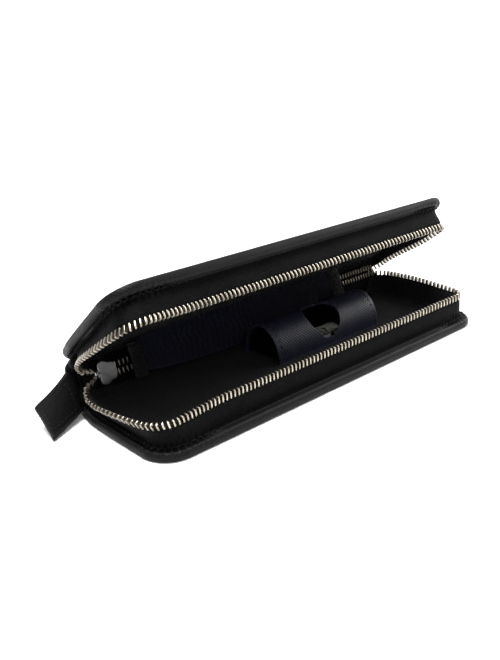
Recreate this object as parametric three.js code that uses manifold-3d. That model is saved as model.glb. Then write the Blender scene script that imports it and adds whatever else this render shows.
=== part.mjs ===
// Zip-around fountain pen case, millimetres, +Z up, origin under the middle of the bottom cover.
import * as THREE from 'three';
import { mergeVertices } from 'three/addons/utils/BufferGeometryUtils.js';
import Module from 'manifold-3d';

const wasm = await Module();
wasm.setup();

// --- driving dimensions -------------------------------------------------------------------
const CHAIN_L = 163;            // zip chain line, length of its plan
const CHAIN_W = 51;             // zip chain line, width of its plan
const CHAIN_R = 7;              // zip chain line, corner radius
const HALF_H = 12.6;            // height of one half, up to the closing plane
const RIM = 4.5;                // cover rim beyond the chain line
const COVER_R = 11;             // cover corner radius
const COVER_T = 3.8;            // cover thickness with its turned edge
const SKIN = 1.2;               // leather skin of a cover
const BOARD_T = 1.2;
const HEM = 10;                 // turned-in edge of the cover leather, seen from inside
const GAP = 0.3;                // clearance between separate pieces
const WALL_T = 1.2;             // gusset wall
const WALL_TOP = 9.0;
const BACK_TOP = 6.6;           // gusset height along the spine, below the hinge fold
const BACK_Y = 20;              // the wall drops to the spine height behind this line
const LINING_T = 0.6;
const OPEN_DEG = 38.5;          // lid angle at rest
const PITCH = 1.85;             // zip tooth pitch
const TOOTH_W = 1.02;
const TOOTH_D = 2.2;
const MESHED_W = 0.8;           // tooth width where the rows are meshed
const TIP_GAP = 0.25;           // tooth tips to the closing plane
const BEAD_H = 1.0;
const SLEEVE_X = [-15, 44.5];
const SLEEVE_Y = 4.5;
const SLEEVE_HALF = 11;
const SLEEVE_TOP = 19;
const HOLE_X = 14.5;
const HOLE_R = 8.8;
const HOLE_LEAN = 25 * Math.PI / 180;   // the thumb hole looks up and to the front
const STRIP_X = [-59.5, 45];
const TAB_LEFT_X = [-64, -58.6];
const TAB_RIGHT_X = [44.2, 50.6];
const CHAIN_LEFT_X = [-71.4, -60];
const CHAIN_RIGHT_X = [48, 76];
const SLIDER_X = [-79.4, -70.3];
const LINK_END = -83.6;
const STRAP_HALF = 7.8;
const STRAP_T = 2.4;
const STRAP_STATIONS = [        // along the strap, share of the half width, share of the thickness
  [0, 0.36, 1], [0.07, 0.5, 1], [0.15, 0.74, 1], [0.24, 0.93, 1], [0.33, 1, 1], [0.42, 1, 1],
  [0.5, 1, 1], [0.58, 1, 1], [0.67, 1, 1], [0.75, 1, 1], [0.84, 1, 1], [0.94, 1, 1], [1, 0.97, 0.8],
];
const STRAP_LINE = [            // middle of the strap after the loop, and the way its width leans
  [[-88.9, 25.8, 9.0], [0, 0.56, 0.83]],
  [[-97.1, 22.0, 6.5], [0.09, 0.755, 0.648]],
  [[-104.4, 19.3, 4.7], [0.03, 0.89, 0.455]],
];

const HALF_ANGLE = THREE.MathUtils.degToRad(OPEN_DEG / 2);
const AXIS_Y = CHAIN_W / 2;
const LAST_ARC = Math.PI / 3;   // how far each tooth row runs into the back corners

// --- materials ----------------------------------------------------------------------------
const paint = (color, roughness, metalness = 0) =>
  new THREE.MeshStandardMaterial({ color, roughness, metalness });
const LEATHER = paint(0x17171a, 0.55);
const NAVY = paint(0x23263d, 0.5);
const FABRIC = paint(0x101012, 0.9);
const SATIN = paint(0x3a3c44, 0.4);
const BOARD = paint(0x8a8478, 0.9);
const TEETH = paint(0xe6dcc8, 0.28, 1);
const GUNMETAL = paint(0x6a6a6c, 0.3, 1);

// --- solids -------------------------------------------------------------------------------
function toManifold(geometry) {
  const g = geometry.clone();
  g.deleteAttribute('normal');
  g.deleteAttribute('uv');
  const m = mergeVertices(g, 1e-4);
  return new wasm.Manifold(new wasm.Mesh({
    numProp: 3,
    vertProperties: new Float32Array(m.attributes.position.array),
    triVerts: new Uint32Array(m.index.array),
  }));
}

function fromManifold(solid) {
  const mesh = solid.getMesh();
  const g = new THREE.BufferGeometry();
  const flat = new Float32Array(mesh.numVert * 3);
  for (let i = 0; i < mesh.numVert; i += 1) {
    for (let k = 0; k < 3; k += 1) flat[i * 3 + k] = mesh.vertProperties[i * mesh.numProp + k];
  }
  g.setAttribute('position', new THREE.BufferAttribute(flat, 3));
  g.setIndex(new THREE.BufferAttribute(new Uint32Array(mesh.triVerts), 1));
  return g;
}

const cut = (a, ...tools) =>
  fromManifold(tools.reduce((s, t) => s.subtract(toManifold(t)), toManifold(a)));
const join = (...parts) =>
  fromManifold(parts.slice(1).reduce((s, p) => s.add(toManifold(p)), toManifold(parts[0])));

function block(x0, x1, y0, y1, z0, z1) {
  const g = new THREE.BoxGeometry(x1 - x0, y1 - y0, z1 - z0);
  g.translate((x0 + x1) / 2, (y0 + y1) / 2, (z0 + z1) / 2);
  return g;
}

function volume(pos, tri) {
  const [a, b, c] = [new THREE.Vector3(), new THREE.Vector3(), new THREE.Vector3()];
  let v = 0;
  for (let i = 0; i < tri.length; i += 3) {
    a.fromArray(pos, tri[i] * 3);
    b.fromArray(pos, tri[i + 1] * 3);
    c.fromArray(pos, tri[i + 2] * 3);
    v += a.dot(b.cross(c)) / 6;
  }
  return v;
}

// Geometry with every triangle facing out.
function skin(pos, tri) {
  const index = tri.slice();
  if (volume(pos, tri) < 0) {
    for (let i = 0; i < index.length; i += 3) [index[i], index[i + 1]] = [index[i + 1], index[i]];
  }
  const g = new THREE.BufferGeometry();
  g.setAttribute('position', new THREE.Float32BufferAttribute(pos, 3));
  g.setIndex(index);
  return g;
}

// Closed skin over a stack of outlines that all have the same number of points.
function loft(loops) {
  const n = loops[0].length;
  const pos = loops.flat().flatMap((p) => [p.x, p.y, p.z]);
  const tri = [];
  for (let j = 0; j < loops.length - 1; j += 1) {
    for (let i = 0; i < n; i += 1) {
      const a = j * n + i;
      const b = j * n + ((i + 1) % n);
      tri.push(a, b, b + n, a, b + n, a + n);
    }
  }
  const cap = (j, flip) => {
    for (let i = 1; i < n - 1; i += 1) {
      const [a, b, c] = [j * n, j * n + i, j * n + i + 1];
      tri.push(...(flip ? [a, c, b] : [a, b, c]));
    }
  };
  cap(0, true);
  cap(loops.length - 1, false);
  return skin(pos, tri);
}

// Rounded rectangle, counter-clockwise, at height z.
function outline(halfL, halfW, r, z, seg = 7) {
  const pts = [];
  const centres = [[1, 1, 0], [-1, 1, 1], [-1, -1, 2], [1, -1, 3]];
  for (const [sx, sy, q] of centres) {
    for (let i = 0; i <= seg; i += 1) {
      const a = (q + i / seg) * Math.PI / 2;
      pts.push(new THREE.Vector3(
        sx * (halfL - r) + r * Math.cos(a), sy * (halfW - r) + r * Math.sin(a), z));
    }
  }
  return pts;
}

// Rounded plate that follows the chain line at a sideways offset.
function chainPlate(offset, z0, z1) {
  const ring = (z) => outline(CHAIN_L / 2 + offset, CHAIN_W / 2 + offset, CHAIN_R + offset, z);
  return loft([ring(z0), ring(z1)]);
}

// Extrusion along X of a closed outline given as [y, z] pairs.
function alongX(points, x0, x1) {
  const flat = points.map(([y, z]) => new THREE.Vector2(y, z));
  if (THREE.ShapeUtils.isClockWise(flat)) flat.reverse();
  const n = flat.length;
  const pos = [x0, x1].flatMap((x) => flat.flatMap((p) => [x, p.x, p.y]));
  const tri = [];
  for (let i = 0; i < n; i += 1) {
    const j = (i + 1) % n;
    tri.push(i, j, j + n, i, j + n, i + n);
  }
  for (const [a, b, c] of THREE.ShapeUtils.triangulateShape(flat, [])) {
    tri.push(a, c, b, a + n, b + n, c + n);
  }
  return skin(pos, tri);
}

// --- one half: cover, board, linings, gusset, tape and teeth --------------------------------
function coverLeather() {
  const ring = (inset, z) =>
    outline(CHAIN_L / 2 + RIM - inset, CHAIN_W / 2 + RIM - inset, COVER_R - inset, z);
  const body = loft([
    ring(1.0, 0), ring(0.3, 0.3), ring(0, 1.0), ring(0, COVER_T - 1.0),
    ring(0.3, COVER_T - 0.3), ring(1.0, COVER_T),
  ]);
  const pocketTop = SKIN + BOARD_T + 0.4;
  const pocket = loft([
    outline(CHAIN_L / 2 + RIM - 1.4, CHAIN_W / 2 + RIM - 1.4, COVER_R - 1.4, SKIN),
    outline(CHAIN_L / 2 + RIM - 1.4, CHAIN_W / 2 + RIM - 1.4, COVER_R - 1.4, pocketTop),
  ]);
  const window = loft([
    outline(CHAIN_L / 2 + RIM - HEM, CHAIN_W / 2 + RIM - HEM, 3, SKIN + 0.5),
    outline(CHAIN_L / 2 + RIM - HEM, CHAIN_W / 2 + RIM - HEM, 3, COVER_T + 1),
  ]);
  return cut(body, pocket, window);
}

function board() {
  const ring = (z) =>
    outline(CHAIN_L / 2 + RIM - 1.7, CHAIN_W / 2 + RIM - 1.7, COVER_R - 1.7, z);
  return loft([ring(SKIN + 0.2), ring(SKIN + 0.2 + BOARD_T)]);
}

function floorLining() {
  const z = COVER_T + GAP;
  return chainPlate(-2.8, z, z + LINING_T);
}

function ringWall(outer, inner, z0, z1) {
  const ring = cut(chainPlate(outer, z0, z1), chainPlate(inner, z0 - 1, z1 + 1));
  return cut(ring, block(-200, 200, BACK_Y, 200, BACK_TOP, 200));
}

const gusset = () => ringWall(WALL_T / 2, -WALL_T / 2, COVER_T + GAP, WALL_TOP);
const wallLining = () => ringWall(-1.8, -2.4, COVER_T + GAP, WALL_TOP - 0.4);

// Point and outward normal at distance s along the open part of the chain line.
const STRAIGHT_SIDE = CHAIN_W - 2 * CHAIN_R;
const STRAIGHT_FRONT = CHAIN_L - 2 * CHAIN_R;
const CORNER = CHAIN_R * Math.PI / 2;
const END_ARC = CHAIN_R * LAST_ARC;
const LEAD = CORNER - END_ARC;
const ROW_LENGTH = 2 * (STRAIGHT_SIDE + CORNER + LEAD) + STRAIGHT_FRONT;

function chainPoint(s) {
  const cx = CHAIN_L / 2 - CHAIN_R;
  const cy = CHAIN_W / 2 - CHAIN_R;
  const arc = (x, y, a) => ({
    x: x + CHAIN_R * Math.cos(a), y: y + CHAIN_R * Math.sin(a), nx: Math.cos(a), ny: Math.sin(a),
  });
  let d = s;
  if (d < LEAD) return arc(-cx, cy, Math.PI - (LEAD - d) / CHAIN_R);
  d -= LEAD;
  if (d < STRAIGHT_SIDE) return { x: -CHAIN_L / 2, y: cy - d, nx: -1, ny: 0 };
  d -= STRAIGHT_SIDE;
  if (d < CORNER) return arc(-cx, -cy, Math.PI + d / CHAIN_R);
  d -= CORNER;
  if (d < STRAIGHT_FRONT) return { x: -cx + d, y: -CHAIN_W / 2, nx: 0, ny: -1 };
  d -= STRAIGHT_FRONT;
  if (d < CORNER) return arc(cx, -cy, 1.5 * Math.PI + d / CHAIN_R);
  d -= CORNER;
  if (d < STRAIGHT_SIDE) return { x: CHAIN_L / 2, y: -cy + d, nx: 1, ny: 0 };
  d -= STRAIGHT_SIDE;
  return arc(cx, cy, d / CHAIN_R);
}

// Skin swept along the chain line; heights(i) gives the top of each stretch between stations.
function sweepRow(stations, lo, hi, z0, tops) {
  const pos = [];
  const tri = [];
  const seen = new Map();
  const vertex = (s, side, z) => {
    const key = `${s.toFixed(4)},${side},${z.toFixed(4)}`;
    if (!seen.has(key)) {
      const p = chainPoint(s);
      const d = side ? hi : lo;
      seen.set(key, pos.length / 3);
      pos.push(p.x + p.nx * d, p.y + p.ny * d, z);
    }
    return seen.get(key);
  };
  const quad = (a, b, c, d) => tri.push(a, b, c, a, c, d);
  const zMin = Math.min(...tops);
  for (let i = 0; i < tops.length; i += 1) {
    const [s, e] = [stations[i], stations[i + 1]];
    const levels = tops[i] > zMin ? [z0, zMin, tops[i]] : [z0, zMin];
    for (let k = 0; k < levels.length - 1; k += 1) {
      const [a, b] = [levels[k], levels[k + 1]];
      quad(vertex(s, 1, a), vertex(e, 1, a), vertex(e, 1, b), vertex(s, 1, b));
      quad(vertex(e, 0, a), vertex(s, 0, a), vertex(s, 0, b), vertex(e, 0, b));
    }
    quad(vertex(s, 0, z0), vertex(e, 0, z0), vertex(e, 1, z0), vertex(s, 1, z0));
    quad(vertex(s, 1, tops[i]), vertex(e, 1, tops[i]), vertex(e, 0, tops[i]), vertex(s, 0, tops[i]));
    const before = i ? tops[i - 1] : z0;
    const after = i < tops.length - 1 ? tops[i + 1] : z0;
    for (let k = 0; k < levels.length - 1; k += 1) {
      const [a, b] = [levels[k], levels[k + 1]];
      if (before <= a) quad(vertex(s, 0, a), vertex(s, 1, a), vertex(s, 1, b), vertex(s, 0, b));
      if (after <= a) quad(vertex(e, 1, a), vertex(e, 0, a), vertex(e, 0, b), vertex(e, 1, b));
    }
  }
  return skin(pos, tri);
}

function zipTape() {
  const stations = [];
  const steps = 96;
  for (let i = 0; i <= steps; i += 1) stations.push(ROW_LENGTH * i / steps);
  return sweepRow(stations, -1.5, -0.9, 5.2, new Array(steps).fill(9.2));
}

function zipTeeth(shift) {
  const bead = HALF_H - 3.15;
  const stations = [0];
  const tops = [];
  const count = Math.floor((ROW_LENGTH - 1) / PITCH);
  for (let i = 0; i < count; i += 1) {
    const s = 0.6 + shift + i * PITCH;
    stations.push(s, s + TOOTH_W);
    tops.push(bead + BEAD_H, HALF_H - TIP_GAP);
  }
  stations.push(Math.min(ROW_LENGTH, stations.at(-1) + 0.8));
  tops.push(bead + BEAD_H);
  return sweepRow(stations, -TOOTH_D / 2, TOOTH_D / 2, bead, tops);
}

// --- pen sleeve on the bottom floor ---------------------------------------------------------
function arch(outerR, outerTop, thick, x0, x1) {
  const foot = COVER_T + GAP + LINING_T + GAP;
  const pts = [];
  const n = 18;
  for (let i = 0; i <= n; i += 1) {
    const a = Math.PI * i / n;
    pts.push([SLEEVE_Y + outerR * Math.cos(a), foot + (outerTop - foot) * Math.sin(a)]);
  }
  for (let i = n; i >= 0; i -= 1) {
    const a = Math.PI * i / n;
    pts.push([
      SLEEVE_Y + (outerR - thick) * Math.cos(a), foot + (outerTop - thick - foot) * Math.sin(a)]);
  }
  return alongX(pts, x0, x1);
}

function thumbHole(radius, start) {
  const g = new THREE.CylinderGeometry(radius, radius, 20, 40);
  g.rotateX(Math.PI / 2).translate(0, 0, start + 10);
  g.rotateX(HOLE_LEAN).translate(HOLE_X, SLEEVE_Y - 1, 7.5);
  return g;
}

const penSleeve = () =>
  cut(arch(SLEEVE_HALF, SLEEVE_TOP, 1.0, SLEEVE_X[0], SLEEVE_X[1]), thumbHole(HOLE_R, 4));
const sleeveLining = () =>
  cut(arch(SLEEVE_HALF - 1.2, SLEEVE_TOP - 1.2, 0.6, SLEEVE_X[0] + 0.8, SLEEVE_X[1] - 0.8),
    thumbHole(HOLE_R + 0.5, 4.4));

// --- spine: pieces that stay on the bisector of the two halves ------------------------------
// Spine coordinates: x along the axis, y outwards (to the back), z towards the lid.
function spineLeather() {
  const bend = (f, z) => {
    const [c, s] = [Math.cos(HALF_ANGLE), Math.sin(HALF_ANGLE)];
    return [-(f * c + z * s), -f * s + z * c];
  };
  const lower = [bend(-1.35, -8.1), bend(-1.35, -6.2), [2.35, -2.6], [1.95, -0.9]];
  const mid = [...lower, ...lower.map(([y, z]) => [y, -z]).reverse()];
  const outer = mid.map(([y, z]) => [y + 0.4, z]);
  const inner = mid.map(([y, z]) => [y - 0.4, z]).reverse();
  return alongX([...inner, ...outer], -63.5, 74);
}

function spineStrip() {
  const pts = [];
  const n = 6;
  for (let i = 0; i <= n; i += 1) {
    const t = -1 + 2 * i / n;
    pts.push([-3.6 - 0.5 * (1 - t * t), 6.3 * t]);
  }
  const back = pts.map(([y, z]) => [y + 0.8, z]).reverse();
  return alongX([...back, ...pts], STRIP_X[0], STRIP_X[1]);
}

const spineTab = (x0, x1) =>
  loft([
    [x0 + 0.4, x1 - 0.4, 6.8, -5.4], [x0, x1, 7.0, -5.1], [x0, x1, 7.0, -4.4],
  ].map(([a, b, h, y]) => [
    new THREE.Vector3(a, y, -h), new THREE.Vector3(b, y, -h),
    new THREE.Vector3(b, y, h), new THREE.Vector3(a, y, h),
  ]));

// Closed chain: a core with the teeth of both rows meshed from above and below.
function meshedChain(x0, x1) {
  const parts = [block(x0, x1, -0.8, 0.8, -2.2, 2.2)];
  const n = Math.floor((x1 - x0) / PITCH);
  for (let i = 0; i < n; i += 1) {
    const x = x0 + 0.1 + i * PITCH;
    parts.push(block(x, x + MESHED_W, -TOOTH_D / 2, TOOTH_D / 2, -0.9, 2.8));
    parts.push(block(x + PITCH / 2, x + PITCH / 2 + MESHED_W, -TOOTH_D / 2, TOOTH_D / 2, -2.8, 0.9));
  }
  return join(...parts);
}

const chainTape = (x0, x1) =>
  cut(block(x0, x1, -0.3, 0.3, -5.4, 5.4), block(x0 - 1, x1 + 1, -1, 1, -3.0, 3.0));

// --- slider ---------------------------------------------------------------------------------
// Shield-like plate: wide shoulders at the mouth, narrower at the closed side.
function sliderPlate(side) {
  const [a, b] = SLIDER_X;
  const m = (a + b) / 2;
  const half = [
    [a + 1.0, 4.9], [a + 3.0, 4.7], [m + 0.8, 3.9], [b - 1.6, 3.9], [b - 0.4, 3.3], [b, 2.0],
  ];
  const ring = [[a + 0.9, 0], ...half, ...half.slice().reverse().map(([x, z]) => [x, -z])];
  const loop = (y, k) => ring.map(([x, z]) =>
    new THREE.Vector3(m + (x - m) * k, side * y, z * k));
  const plate = loft([loop(2.75, 0.94), loop(2.45, 1), loop(1.45, 1)]);
  const [near, far] = side > 0 ? [0.7, 1.6] : [-1.6, -0.7];
  const flange = (z0, z1) => block(a + 3.0, b - 1.0, near, far, z0, z1);
  return join(plate, flange(3.2, 3.85), flange(-3.85, -3.2));
}

function sliderPost() {
  const x = SLIDER_X[0] + 1.2;
  const ring = (y) => [
    [x, -1.5], [x + 2.4, -0.25], [x + 2.4, 0.25], [x, 1.5],
  ].map(([a, z]) => new THREE.Vector3(a, y, z));
  return loft([ring(1.3), ring(-1.3)]);
}

function sliderBridge() {
  const [a, b] = [SLIDER_X[0] + 1.0, SLIDER_X[1] - 1.0];
  const body = block(a, b, 2.85, 5.7, -1.2, 1.2);
  const hole = block(a + 1.2, b - 1.2, 2.0, 4.75, -2, 2);
  const slope = block(b - 1.4, b + 3, 4.6, 8, -3, 3);
  slope.translate(-b, -4.6, 0).rotateZ(-0.5).translate(b, 4.6, 0);
  return cut(body, hole, slope);
}

// --- pull: metal link and leather strap -----------------------------------------------------
const LINK_X = SLIDER_X[0] + 4.2;
const LINK_Y = 3.75;

function pullLink() {
  const frame = block(LINK_END - 0.55, LINK_X + 0.55, LINK_Y - 0.5, LINK_Y + 0.5, -4.0, 4.0);
  return cut(frame, block(LINK_END + 0.55, LINK_X - 0.55, 0, 9, -2.9, 2.9));
}

// Leather strap looped round the end of the link, then drooping and turning flat to the left.
function pullStrap() {
  const tube = new THREE.CylinderGeometry(2.2, 2.2, 5.0, 16);
  tube.rotateX(Math.PI / 2).translate(LINK_END, LINK_Y, 0);
  const neck = block(LINK_END - 3.4, LINK_END, LINK_Y - 1.3, LINK_Y + 1.3, -2.5, 2.5);
  const bore = new THREE.CylinderGeometry(0.95, 0.95, 9, 16);
  bore.rotateX(Math.PI / 2).translate(LINK_END, LINK_Y, 0);
  const loop = cut(join(tube, neck), bore);
  loop.applyMatrix4(spineMatrix());
  const start = new THREE.Vector3(LINK_END - 1.9, LINK_Y, 0).applyMatrix4(spineMatrix());
  const up = new THREE.Vector3(0, 0, 1).transformDirection(spineMatrix());
  const centres = [start, ...STRAP_LINE.map(([c]) => new THREE.Vector3(...c))];
  const leans = [up, ...STRAP_LINE.map(([, w]) => new THREE.Vector3(...w).normalize())];
  const path = new THREE.CatmullRomCurve3(centres, false, 'centripetal');
  const loops = [];
  for (const [t, width, thick] of STRAP_STATIONS) {
    const c = path.getPoint(t);
    const dir = path.getTangent(t);
    const span = Math.min(2, Math.floor(t * 3));
    const w = leans[span].clone().lerp(leans[span + 1], t * 3 - span).normalize();
    const nrm = new THREE.Vector3().crossVectors(dir, w).normalize();
    const hw = STRAP_HALF * width;
    const ht = STRAP_T / 2 * thick;
    const b = 0.5;
    loops.push([
      [hw - b, -ht], [hw, -ht + b], [hw, ht - b], [hw - b, ht],
      [-hw + b, ht], [-hw, ht - b], [-hw, -ht + b], [-hw + b, -ht],
    ].map(([a, k]) => c.clone().addScaledVector(w, a).addScaledVector(nrm, k)));
  }
  return join(loop, loft(loops));
}

function spineMatrix() {
  return new THREE.Matrix4().makeTranslation(0, AXIS_Y, HALF_H)
    .multiply(new THREE.Matrix4().makeRotationX(-HALF_ANGLE));
}

// --- assembly -------------------------------------------------------------------------------
function piece(name, geometry, material) {
  geometry.deleteAttribute('normal');
  const g = geometry.toNonIndexed();
  g.computeVertexNormals();
  const mesh = new THREE.Mesh(g, material);
  mesh.name = name;
  return mesh;
}

function makeHalf(prefix, shift) {
  const group = new THREE.Group();
  group.name = `${prefix}_half`;
  group.add(
    piece(`${prefix}_cover_leather`, coverLeather(), LEATHER),
    piece(`${prefix}_board`, board(), BOARD),
    piece(`${prefix}_lining`, floorLining(), FABRIC),
    piece(`${prefix}_gusset`, gusset(), LEATHER),
    piece(`${prefix}_wall_lining`, wallLining(), FABRIC),
    piece(`${prefix}_zip_tape`, zipTape(), FABRIC),
    piece(`${prefix}_zip_teeth`, zipTeeth(shift), TEETH),
  );
  return group;
}

function makeLid() {
  const turn = new THREE.Group();
  turn.name = 'lid';
  turn.position.set(0, AXIS_Y, HALF_H);
  turn.rotation.x = -2 * HALF_ANGLE;
  const half = makeHalf('lid', PITCH / 2);
  half.position.set(0, -AXIS_Y, HALF_H);
  half.scale.z = -1;
  turn.add(half);
  return turn;
}

function makeSpine() {
  const spine = new THREE.Group();
  spine.name = 'spine';
  spine.position.set(0, AXIS_Y, HALF_H);
  spine.rotation.x = -HALF_ANGLE;
  spine.add(
    piece('spine_leather', spineLeather(), LEATHER),
    piece('spine_lining_strip', spineStrip(), NAVY),
    piece('spine_tab_left', spineTab(...TAB_LEFT_X), LEATHER),
    piece('spine_tab_right', spineTab(...TAB_RIGHT_X), LEATHER),
    piece('zip_chain_left', meshedChain(...CHAIN_LEFT_X), TEETH),
    piece('zip_chain_right', meshedChain(...CHAIN_RIGHT_X), TEETH),
    makeSlider(),
    piece('pull_link', pullLink(), GUNMETAL),
  );
  const tapes = [['upper', 1], ['lower', -1]];
  for (const [name, s] of tapes) {
    const [lo, hi] = s > 0 ? [3.0, 5.4] : [-5.4, -3.0];
    spine.add(
      piece(`chain_tape_left_${name}`, block(...CHAIN_LEFT_X, -0.3, 0.3, lo, hi), FABRIC),
      piece(`chain_tape_right_${name}`, block(...CHAIN_RIGHT_X, -0.3, 0.3, lo, hi), FABRIC),
    );
  }
  return spine;
}

function makeSlider() {
  const slider = new THREE.Group();
  slider.name = 'slider';
  slider.add(
    piece('slider_inner_plate', sliderPlate(-1), GUNMETAL),
    piece('slider_outer_plate', sliderPlate(1), GUNMETAL),
    piece('slider_post', sliderPost(), GUNMETAL),
    piece('slider_bridge', sliderBridge(), GUNMETAL),
  );
  return slider;
}

const penCase = new THREE.Group();
penCase.name = 'fountain_pen_case';
const bottom = makeHalf('bottom', 0);
bottom.add(
  piece('pen_sleeve', penSleeve(), NAVY),
  piece('pen_sleeve_lining', sleeveLining(), SATIN),
);
penCase.add(bottom, makeLid(), makeSpine(), piece('pull_strap', pullStrap(), LEATHER));

export default penCase;
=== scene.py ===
"""Zip-around fountain pen case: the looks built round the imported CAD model."""
import math

import bmesh
import bpy
import numpy as np
from mathutils import Matrix, Vector, noise


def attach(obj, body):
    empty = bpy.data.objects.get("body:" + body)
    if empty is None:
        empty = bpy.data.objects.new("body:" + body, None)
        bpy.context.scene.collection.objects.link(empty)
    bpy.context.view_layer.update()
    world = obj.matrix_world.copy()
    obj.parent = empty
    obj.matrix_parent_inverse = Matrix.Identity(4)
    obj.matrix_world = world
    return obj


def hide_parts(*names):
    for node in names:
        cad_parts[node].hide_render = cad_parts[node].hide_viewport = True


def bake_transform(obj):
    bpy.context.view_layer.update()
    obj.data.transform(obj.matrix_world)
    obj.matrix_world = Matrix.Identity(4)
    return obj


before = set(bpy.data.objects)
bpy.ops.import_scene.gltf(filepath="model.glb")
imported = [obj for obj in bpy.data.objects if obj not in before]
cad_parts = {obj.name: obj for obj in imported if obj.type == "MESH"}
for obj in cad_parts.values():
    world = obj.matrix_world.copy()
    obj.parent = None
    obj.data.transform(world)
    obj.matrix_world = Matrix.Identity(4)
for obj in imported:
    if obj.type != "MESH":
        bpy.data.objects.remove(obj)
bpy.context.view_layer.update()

# --- dimensions of the model, millimetres ---
MM = 0.001
CHAIN_L, CHAIN_W, CHAIN_R = 163.0, 51.0, 7.0  # the line that the zip follows, and its corner radius
CORNER_X, CORNER_Y = CHAIN_L / 2 - CHAIN_R, CHAIN_W / 2 - CHAIN_R  # centres of its round corners
HALF_H, COVER_T, FLOOR = 12.6, 3.8, 4.7  # height of a half, cover thickness, top of the floor lining
OPEN = math.radians(38.5)  # how far the lid stands open
PHI = OPEN / 2
AXIS_Y = CHAIN_W / 2
LEAD_ARC, TAIL_ARC = math.radians(50), math.radians(82)  # the rows' ends, round the back corners
PITCH = 1.85
TOOTH_W, TOOTH_D, TOOTH_TOP, TOOTH_FOOT = 0.78, 1.8, 13.95, 11.2
WALL_TOP, WALL_LOW, BACK_Y = 11.0, 6.7, 20.0  # walls are high up to this y and low along the spine
LINING_TOP, LINING_LOW = 11.3, 6.2
SPINE_X = (-67.8, 76.5)
STRIP_X = (-61.6, 45.2)
TAB_LEFT_X, TAB_RIGHT_X = (-65.4, -60.6), (44.2, 50.6)
ZIP_LEFT_X, ZIP_RIGHT_X = (-72.4, -62.0), (48.0, 77.9)  # the meshed lengths
TAPE_LEFT_X, TAPE_RIGHT_X = (-84.5, -58.5), (46.5, 80.0)
SLIDER = (-79.4, -70.3)
LINK_END, LINK_Y = -83.6, 3.75
STRAP_HALF = 7.8
SLEEVE_X, SLEEVE_Y, SLEEVE_R, SLEEVE_TOP = (-15.0, 44.5), 4.5, 11.0, 19.0
HOLE_X, HOLE_R, HOLE_LEAN = 14.5, 8.8, math.radians(25)


def rot_x(p, a):
    """Rows of p turned about X by the angle a."""
    c, s = math.cos(a), math.sin(a)
    return np.stack([p[..., 0], p[..., 1] * c - p[..., 2] * s, p[..., 1] * s + p[..., 2] * c], -1)


def ease(t):
    """Smooth step from 0 to 1."""
    t = np.clip(t, 0, 1)
    return t * t * (3 - 2 * t)


# how far the open left end splays at the height of the teeth: y, then the shift in x, y and z
SPLAY = np.array([
    (-30, -3.5, -2.2, 0.3), (-25.5, -4.2, -2.2, 0.3), (-23.45, -5.5, -1.85, 0.3),
    (-18.5, -6.3, -0.3, -0.2), (-13.5, -7.1, 0, -0.8), (-6, -7.7, 0, -1.6), (2, -8.1, 0, -2.5),
    (8, -8.0, 0, -3.2), (13.5, -7.3, 0, -3.3), (18.5, -5.5, 0.1, -2.9), (20.5, -3.3, 1.3, -2.3),
    (22, 0, 1.6, -1.9), (23.5, 0.2, 1.2, -1.8), (25.5, 0, 0.3, -1.4), (30, 0, 0, -1.2)])


def relaxed(p, lift, tail, rise):
    """A half as it lies open: walls splayed at the slider's end, the row lifted by lift, and near
    the right end by tail at the back and by rise along the middle."""
    q = np.array(p, float)
    x, y, z = q[..., 0], q[..., 1], q[..., 2]
    left, h = ease((-58 - x) / 22), np.clip((z - COVER_T) / 8.8, 0, 1.3)
    low = np.clip(h, 0, 1)
    foot = -(2.0 + 1.4 * ease((y + 28) / 40) * (1 - 0.6 * ease((y - 12) / 10)))
    top = [np.interp(y, SPLAY[:, 0], SPLAY[:, k]) for k in (1, 2, 3)]
    end = ease((x - 62) / 14) * ease((y + 14) / 34)
    bow = ease((x - 62) / 14) * np.sin(np.clip((y + 22) / 44, 0, 1) * math.pi)
    dx, dy = x + CORNER_X, y - CORNER_Y
    r = np.maximum(np.hypot(dx, dy), 0.01)
    corner = np.where((dx < 0) & (dy > 0), np.abs(2 * dx * dy) / r ** 2 * np.clip(r / 9, 0, 1), 0)
    square = corner * (0.6 + 3.6 * np.sin(math.pi * low) ** 0.8) * (1 - 0.3 * low)
    out = q.copy()
    out[..., 0] += left * ((1 - low) * foot + h * top[0]) + square * dx / r
    out[..., 1] += left * h * top[1] + square * dy / r
    out[..., 2] += left * h * top[2] + low * (lift * (1 - 0.7 * left) + end * tail + bow * rise)
    return out


def as_is(p):
    return np.asarray(p, float)


def relaxed_bottom(p):
    """Half coordinates to the bottom as it lies."""
    return relaxed(p, 1.2, 0.6, 1.2)


def relaxed_lid(p):
    return relaxed(p, 0.3, -3.9, -0.4)


def seat_lid(p):
    """Half coordinates to the open lid: mirrored in the closing plane, then turned about the spine."""
    q = np.array(p, float)
    q[..., 1] -= AXIS_Y
    q[..., 2] = HALF_H - q[..., 2]
    return rot_x(q, -OPEN) + (0, AXIS_Y, HALF_H)


def to_lid(p):
    return seat_lid(relaxed_lid(p))


def to_spine(p):
    """Spine coordinates (y outwards, z towards the lid, on the bisector) to the row frame."""
    return rot_x(np.array(p, float), -PHI) + (0, AXIS_Y, HALF_H)


def spine_lean(amount):
    """Spine coordinates shifted towards the lid, since the spine lies a little askew."""
    return lambda p: to_spine(np.asarray(p, float) + (0, 0, amount))


HALVES = (("bottom", relaxed_bottom), ("lid", to_lid))


def wobble(x, y, z, scale):
    """Slow unevenness, from about -1 to 1, with bumps about scale across."""
    return noise.noise(Vector((x / scale, y / scale, z / scale)))


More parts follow.
